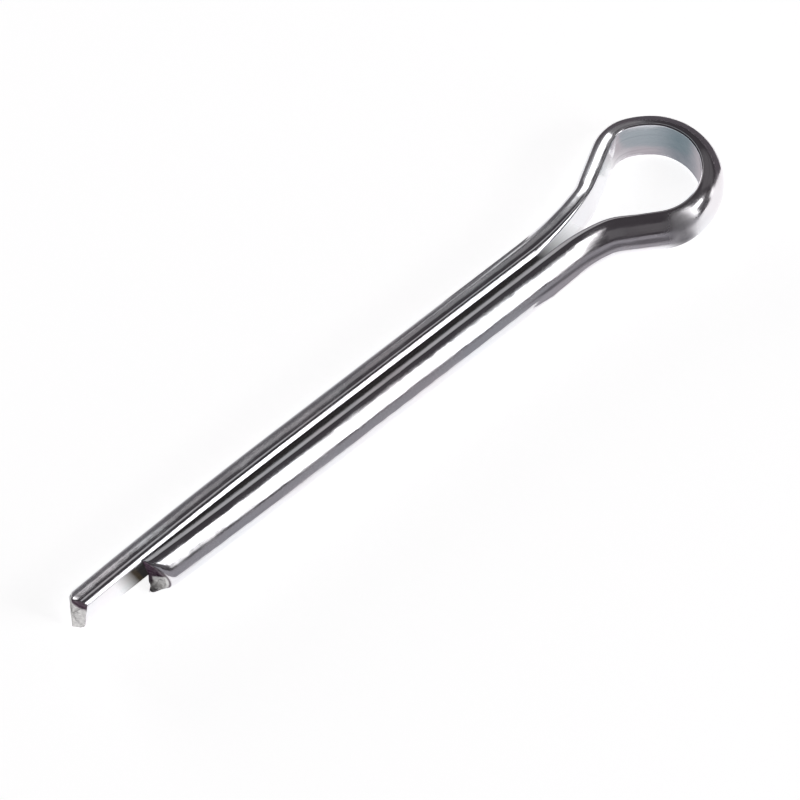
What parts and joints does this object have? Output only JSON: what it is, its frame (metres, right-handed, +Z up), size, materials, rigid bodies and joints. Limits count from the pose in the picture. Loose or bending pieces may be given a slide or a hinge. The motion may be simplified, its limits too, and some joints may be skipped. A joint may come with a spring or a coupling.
{
  "type": "cotter pin",
  "caption": "Extended-prong cotter pin bent from half-round steel wire, with a round eye and two flat-faced legs that pass through a drilled hole and spread to lock it.",
  "frame": {"origin": "on the shank's axis, where the long leg starts to bend out of the shank into the neck of the eye", "axes": "+X along the shank towards the eye, +Y towards the long leg's side, +Z up along the axis of the wire's bends; the pin lies flat on its side"},
  "size_m": [0.0571, 0.0101, 0.0042],
  "materials": {
    "zinc_plated_steel": "gloss"
  },
  "bodies": {
    "root": {"cotter_pin": "zinc_plated_steel"}
  },
  "joints": []
}
